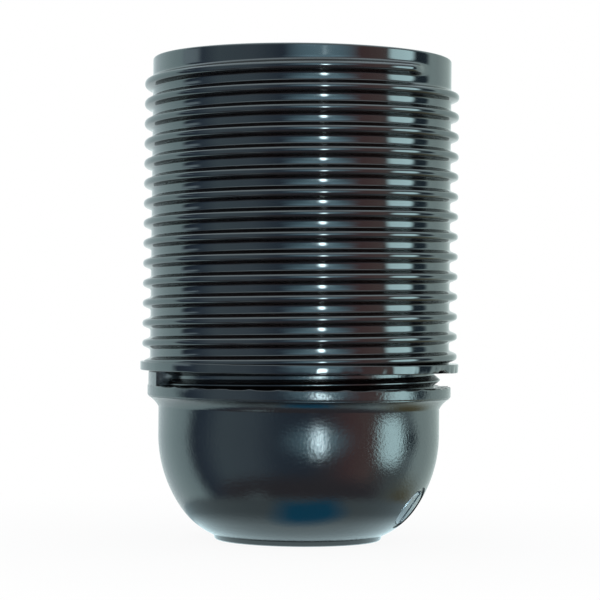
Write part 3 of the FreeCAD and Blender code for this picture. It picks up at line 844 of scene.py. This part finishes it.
def box(size: Sequence[float], height: float) -> BMesh:
    """A box on the axis, by its size and the height of its middle in millimetres."""
    mesh = bmesh.new()
    bmesh.ops.create_cube(mesh, size=1.0)
    bmesh.ops.scale(mesh, vec=[length * MM for length in size], verts=mesh.verts)
    bmesh.ops.translate(mesh, vec=(0, 0, height * MM), verts=mesh.verts)
    return mesh


@dataclass
class LockingScrew:
    """The grub screw that locks the entry tube: M5, slotted, in a slanted hole through the dome."""

    azimuth: float = 70.0  # degrees, from the front towards the right
    slope: float = 35.0
    mouth_radius: float = 14.9
    mouth_height: float = 4.2
    radius: float = 2.5
    recess: float = 0.25
    tail: float = 10.6
    clearance: float = 0.05
    relief_radius: float = 3.15
    relief_depth: float = 0.5
    slot_width: float = 0.9
    slot_depth: float = 1.1
    slot_reach: float = 4.0
    pitch: float = 0.8
    depth: float = 13.1
    above: float = 3.0  # how far the shapes that cut the hole stand out of the dome
    head_land: float = 0.25
    head_edge: float = 0.06
    head_draft: float = 0.08
    head_chamfer: float = 0.22
    tail_chamfer: float = 0.55
    cap_radius: float = 0.3
    thread_short: float = 0.8  # turns of the thread that the head is left without
    columns: int = 48
    bore_columns: int = 72

    def frame(self) -> Matrix:
        """The screw's place: the origin on the dome's face and +Z along the way out of it."""
        around, lean = math.radians(self.azimuth - 90), math.radians(self.slope)
        outward = Vector((math.cos(lean) * math.cos(around), math.cos(lean) * math.sin(around),
                          -math.sin(lean)))
        return outward_frame(outward, self.mouth())

    def mouth(self) -> Vector:
        """Where the screw's axis meets the dome's face, in metres."""
        around = math.radians(self.azimuth - 90)
        return Vector((self.mouth_radius * math.cos(around), self.mouth_radius * math.sin(around),
                       self.mouth_height)) * MM

    def hole(self) -> Object:
        """The shape that cuts the screw's hole."""
        return self.bore("lock_hole", self.radius + self.clearance, -self.depth, self.above)

    def relief(self) -> Object:
        """The shape that cuts the round seat at the hole's mouth."""
        return self.bore("lock_relief", self.relief_radius, -self.relief_depth, self.above)

    def bore(self, name: str, radius: float, low: float, high: float) -> Object:
        """A round cutter along the screw's axis."""
        mesh = bmesh.new()
        bmesh.ops.create_cone(mesh, cap_ends=True, segments=self.bore_columns, radius1=radius * MM,
                              radius2=radius * MM, depth=(high - low) * MM)
        bmesh.ops.translate(mesh, vec=(0, 0, (low + high) / 2 * MM), verts=mesh.verts)
        bmesh.ops.transform(mesh, matrix=self.frame(), verts=mesh.verts)
        return cutter(name, mesh)

    def build(self, finish: PlatedMetal) -> Object:
        """Make the screw with its thread and slot, ride it and hide the plain solid."""
        form = ThreadForm(pitch=self.pitch, wall_radius=self.radius, height=0.42, base_width=0.72,
                          crest_width=0.2, tip_radius=0.06, fillet_radius=0.02, start_angle=0.0,
                          start_height=-self.tail, turns=(self.tail - self.recess) / self.pitch
                          - self.thread_short,
                          hand=Hand.INSIDE)
        head, tail = -self.recess, -self.tail
        mesh = wound_wall(form, tail, head - self.head_land, self.columns)
        top = carry(mesh, ring_at(mesh, head - self.head_land), [
            (self.radius - self.head_draft, head - self.head_edge),
            (self.radius - self.head_chamfer, head), (self.cap_radius, head)])
        low = carry(mesh, ring_at(mesh, tail), [(self.radius - self.tail_chamfer, tail),
                                                (self.cap_radius, tail)])
        join_cap(mesh, top)
        join_cap(mesh, low)
        slot = box((2 * self.slot_reach, self.slot_width, 2 * self.slot_depth), head)
        for shape in (mesh, slot):
            bmesh.ops.transform(shape, matrix=self.frame(), verts=shape.verts)
        piece = finished("locking_screw_turned", mesh, finish.material())
        carve(piece, [cutter("screw_slot", slot)])
        piece.data.set_sharp_from_angle(angle=math.radians(SHARP_DEGREES))
        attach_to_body(piece, "locking_screw_body")
        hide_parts("locking_screw")
        return piece


def join_cap(mesh: BMesh, ring: list) -> None:
    """Close a ring with one face."""
    bmesh.ops.contextual_create(mesh, geom=ring)


def outward_frame(outward: Vector, origin: Vector) -> Matrix:
    """A frame whose +Z points outward and whose +X points down the slope.

    Args:
        outward: the way the face looks.
        origin: its origin.

    Returns:
        The frame as a 4 by 4 matrix.
    """
    across = Vector((0, 0, 1)).cross(outward).normalized()
    down = across.cross(outward).normalized()
    turn = Matrix((down, outward.cross(down), outward)).transposed()
    return Matrix.Translation(origin) @ turn.to_4x4()


@dataclass
class Fittings:
    """The plain solids that keep their own meshes: the insert, its contacts and its screws."""

    finishes: dict[str, Material]
    slots: dict[str, str]

    def dress(self, frame: dict) -> list[str]:
        """Give each solid its finish.


        Returns:
            The names of the dressed solids.
        """
        for name, kind in self.slots.items():
            solid = frame["nodes"][name]
            solid.data.materials.clear()
            solid.data.materials.append(self.finishes[kind])
        return list(self.slots)


# ---------------------------------------------------------------------------------------------
# studio


@dataclass
class Studio:
    """The camera, the pale sweep it stands on, and soft light from all round."""

    distance: float = 0.280
    height: float = 0.0273
    lens: float = 133.3
    pitch: float = 0.56  # degrees
    roll: float = 0.6
    floor_size: float = 2.4
    floor_lift: float = 0.93  # how much of the floor the camera sees as plain white
    shadow_reach: tuple[float, float] = (20.0, 75.0)  # mm over which the shadow fades out
    painted_reflection_radius: float = 20.5  # mm round the axis over which glossy rays see the floor's painted reflection; beyond it they pass through
    painted_reflection_fade: tuple[float, float] = (13.5, 16.5)  # mm over which the painted reflection grows darker
    sky_fade: tuple[float, float] = (28.0, 48.0)  # degrees over which the walls turn to ceiling

    def camera(self) -> Object:
        """Make the camera and set it."""
        data = bpy.data.cameras.new("camera")
        data.lens = self.lens
        data.sensor_width = 36.0
        data.clip_start = 0.01
        made = linked("camera", data)
        tilt = (Matrix.Rotation(math.radians(90 + self.pitch), 4, "X")
                @ Matrix.Rotation(math.radians(self.roll), 4, "Z"))
        made.matrix_world = Matrix.Translation((0, -self.distance, self.height)) @ tilt
        bpy.context.scene.camera = made
        return made

    def floor(self) -> Object:
        """The pale floor: white to the camera, and it keeps a faint shadow."""
        mesh = bmesh.new()
        bmesh.ops.create_grid(mesh, x_segments=1, y_segments=1, size=self.floor_size / 2)
        data = baked("floor", mesh)
        material = bpy.data.materials.new("white_card")
        material.use_nodes = True
        tree = material.node_tree
        card = tree.nodes["Principled BSDF"]
        fill(tree, card, {"Base Color": linear("#f4f4f4"), "Roughness": 0.9})
        rays = add_node(tree, "LightPath").outputs
        place = add_node(tree, "TexCoord").outputs["Object"]
        away = add_node(tree, "VectorMath", {"operation": "LENGTH", 0: place}).outputs["Value"]
        near, far = (reach * MM for reach in self.shadow_reach)
        share = maths(tree, "MULTIPLY",
                      maths(tree, "MAXIMUM", rays["Is Camera Ray"], rays["Is Transmission Ray"]),
                      spread(tree, away, near, far, self.floor_lift, 1.0))
        lifted = mixed_shader(tree, share, card.outputs[0], light(tree, "Emission", WHITE))
        # Glossy rays see a painted reflection glowing on the floor instead of its lit colour.
        lit = mixed_shader(tree, rays["Is Glossy Ray"], lifted, self.painted_card_reflection(tree, place, away))
        beyond = spread(tree, away, (self.painted_reflection_radius - 1) * MM, (self.painted_reflection_radius + 1) * MM)
        passing = maths(tree, "MULTIPLY", rays["Is Glossy Ray"], beyond)
        clear = add_node(tree, "BsdfTransparent").outputs[0]
        fill(tree, tree.nodes["Material Output"], {"Surface": mixed_shader(tree, passing, lit, clear)})
        data.materials.append(material)
        made = linked("floor", data)
        return made

    def painted_card_reflection(self, tree: NodeTree, place: NodeSocket, away: NodeSocket) -> NodeSocket:
        """The painted reflection the floor glows with for glossy rays: pale under the dome, darker further
        out, with a painted blue reflection at the front.
        """
        near, far = (reach * MM for reach in self.painted_reflection_fade)
        base = mixed(tree, spread(tree, away, near, far), PAINTED_REFLECTION_NEAR, PAINTED_REFLECTION_FAR)
        parts = add_node(tree, "SeparateXYZ", {0: place}).outputs
        return light(tree, "Emission", PAINTED_BLUE_REFLECTION.laid(tree, base, parts["X"], parts["Y"]))

    def world(self) -> None:
        """Light from all round: plain for what is dull, with panels and dark flags for what is glossy."""
        world = bpy.data.worlds.new("studio")
        bpy.context.scene.world = world
        world.use_nodes = True
        tree = world.node_tree
        tree.nodes.clear()
        rays = add_node(tree, "LightPath").outputs
        around = mixed_shader(tree, rays["Is Glossy Ray"], light(tree, "Background", PLAIN, 0.75),
                              light(tree, "Background", self.surroundings(tree)))
        seen = maths(tree, "MAXIMUM", rays["Is Camera Ray"], rays["Is Transmission Ray"])
        add_node(tree, "OutputWorld", {
            "Surface": mixed_shader(tree, seen, around, light(tree, "Background", WHITE))})

    def surroundings(self, tree: NodeTree) -> NodeSocket:
        """What a glossy face sees: a dark room in front, pale walls at both sides, behind and above."""
        where = add_node(tree, "TexCoord").outputs["Generated"]
        parts = add_node(tree, "SeparateXYZ", {0: where}).outputs
        around = maths(tree, "ARCTAN2", parts["X"], maths(tree, "MULTIPLY", parts["Y"], -1.0))
        turn = maths(tree, "DEGREES", around)
        lift = maths(tree, "DEGREES", maths(tree, "ARCSINE", parts["Z"]))
        sky = spread(tree, lift, *self.sky_fade, interpolation_type="SMOOTHSTEP")
        colour = mixed(tree, sky, self.bands(tree, turn), CEILING)
        for panel in PANELS:
            colour = panel.laid(tree, colour, turn, lift)
        return colour

    def bands(self, tree: NodeTree, turn: NodeSocket) -> NodeSocket:
        """The walls round the object by how far they stand from the camera's way, in degrees."""
        ramp = add_node(tree, "ValToRGB", {"Fac": spread(tree, turn, -180.0, 180.0)})
        stops = ramp.color_ramp.elements
        stops.remove(stops[-1])
        for degrees, glow in WALLS:
            stop = stops.new((degrees + 180) / 360)
            stop.color = (*(level / WALL_LEVEL for level in glow), 1)
        stops.remove(stops[0])
        return add_node(tree, "Mix", {
            "data_type": "RGBA", "blend_type": "MULTIPLY", "Factor": 1.0,
            6: ramp.outputs["Color"], 7: (WALL_LEVEL, WALL_LEVEL, WALL_LEVEL, 1)}).outputs[2]

    def build(self) -> None:
        """Set up the whole stage."""
        self.camera()
        self.floor()
        self.world()
        bpy.context.scene.view_settings.view_transform = "Standard"


WHITE = (1, 1, 1, 1)
PLAIN = (0.93, 0.97, 1, 1)
CEILING = (1.75, 2.15, 2.3, 1)
# Painted reflection: what the floor glows with for glossy rays, near the axis and further out.
PAINTED_REFLECTION_NEAR = (1.1, 1.45, 1.55, 1)
PAINTED_REFLECTION_FAR = (0.5, 0.68, 0.74, 1)
WALL_LEVEL = 4.0  # the ramp's colours are scaled by this
WALLS = (
    (-180, (0.9, 1.0, 1.0)), (-150, (0.9, 1.1, 1.15)), (-130, (1.05, 1.4, 1.45)),
    (-104, (1.2, 1.7, 1.8)), (-98, (0.1, 0.18, 0.28)), (-84, (0.2, 0.34, 0.5)), (-66, (0.5, 0.74, 0.88)),
    (-38, (0.45, 0.66, 0.82)), (-16, (0.2, 0.34, 0.5)), (8, (0.16, 0.28, 0.42)), (28, (0.3, 0.3, 0.36)),
    (43, (0.56, 0.34, 0.36)), (64, (0.68, 0.52, 0.5)), (71, (0.4, 0.4, 0.42)), (97, (0.5, 0.7, 0.75)),
    (107, (0.7, 1.0, 1.1)), (113, (1.3, 1.75, 1.75)), (126, (0.95, 1.25, 1.25)), (150, (0.78, 0.98, 0.95)),
    (180, (0.9, 1.0, 1.0)),
)


@dataclass(frozen=True)
class Panel:
    """A patch of glow: its middle and half sizes, in degrees round the object or in metres on the floor."""

    turn: float
    lift: float
    half_turn: float
    half_lift: float
    glow: tuple[float, float, float]
    soft: float = 0.1  # how wide its edge fades, as a share of its size
    square: float = 8.0  # 2 for an ellipse, more for a rounded oblong

    def mask(self, tree: NodeTree, turn: NodeSocket, lift: NodeSocket) -> NodeSocket:
        """One where a place falls on the panel and zero elsewhere.

        Args:
            tree: the node tree.
            turn: the place's first measure, as the panel's own is given.
            lift: its second measure.

        Returns:
            The socket that gives the share.
        """
        sides = []
        for seen, middle, half in ((turn, self.turn, self.half_turn), (lift, self.lift, self.half_lift)):
            off = maths(tree, "DIVIDE", maths(tree, "SUBTRACT", seen, middle), half)
            sides.append(maths(tree, "POWER", maths(tree, "ABSOLUTE", off), self.square))
        reach = maths(tree, "POWER", maths(tree, "ADD", *sides), 1 / self.square)
        return spread(tree, reach, 1 - self.soft, 1 + self.soft, 1.0, 0.0)

    def laid(self, tree: NodeTree, under: NodeSocket, turn: NodeSocket, lift: NodeSocket) -> NodeSocket:
        """The colour under the panel with the panel's own glow laid over it."""
        return mixed(tree, self.mask(tree, turn, lift), under, (*self.glow, 1))


# A painted reflection: a blue patch in front of the dome that the floor shows only to glossy rays.
PAINTED_BLUE_REFLECTION = Panel(turn=2.2 * MM, lift=-16.9 * MM, half_turn=5.6 * MM, half_lift=2.7 * MM,
              glow=(0.02, 0.5, 0.95), soft=0.4, square=5.0)
PANELS = (
    Panel(turn=2, lift=-62, half_turn=88, half_lift=28, glow=(0.25, 0.26, 0.31), soft=0.12),
    Panel(turn=-50, lift=-56, half_turn=13, half_lift=7, glow=(1.0, 1.4, 1.5), soft=0.5, square=2.5),
    Panel(turn=124, lift=-37, half_turn=22, half_lift=13, glow=(0.38, 0.36, 0.2), soft=0.5, square=3),
    Panel(turn=15, lift=13, half_turn=21, half_lift=10, glow=(1.5, 2.6, 3.2), soft=0.5, square=2),
    Panel(turn=15, lift=-2.5, half_turn=21, half_lift=12, glow=(0.85, 1.55, 1.9), soft=0.55, square=2),
    Panel(turn=16.5, lift=-4, half_turn=10, half_lift=10, glow=(1.3, 2.2, 2.6), soft=0.6, square=2),
    Panel(turn=16.5, lift=-5, half_turn=2.4, half_lift=9, glow=(24, 31, 33), soft=0.35, square=2.4),
    Panel(turn=102, lift=4, half_turn=10, half_lift=13, glow=(0.08, 0.16, 0.22), soft=0.3, square=4),
    Panel(turn=81.5, lift=-1, half_turn=12.5, half_lift=18, glow=(4.2, 6.2, 6.5), soft=0.2, square=3.5),
    Panel(turn=-94, lift=8, half_turn=9, half_lift=4, glow=(1.1, 1.5, 1.7), soft=0.3),
)


def main() -> None:
    """Load the frame, dress the lamp holder and light it."""
    logging.basicConfig(level=logging.INFO, format="%(name)s: %(message)s")
    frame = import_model()
    Studio().build()
    phenolic = BlackPhenolic("black_phenolic", "#0a0b0d", 0.09)
    dull = BlackPhenolic("black_phenolic_dome", "#0a0b0d", 0.13, grain_mm=0.32, grain_depth_mm=0.026)
    plated = PlatedMetal("zinc_plated_steel", "#a6a8ab", 0.4)
    lock = LockingScrew()
    for piece in (Sleeve().build(phenolic), Dome().build(dull, lock), lock.build(plated)):
        LOG.info("%s: %d faces", piece.name, len(piece.data.polygons))
    brass = PlatedMetal("rolled_brass", "#b08d47", 0.3)
    finishes = {
        "steatite": Steatite("fired_steatite", "#e4ddcf", 0.35).material(),
        "contact_brass": brass.material(),
        "plated_steel": PlatedMetal("zinc_plated_steel_small", "#b4b7b8", 0.3).material(),
    }
    pairs = {"contact_block": "steatite", "entry_bush": "plated_steel"}
    for side in ("centre", "side"):
        for part in ("contact", "rivet", "terminal"):
            pairs[f"{side}_{part}"] = "contact_brass"
        for part in ("terminal_screw", "clamp"):
            pairs[f"{side}_{part}"] = "plated_steel"
    for name in Fittings(finishes, pairs).dress(frame):
        LOG.info("%s: dressed", name)


if __name__ == "__main__":
    main()
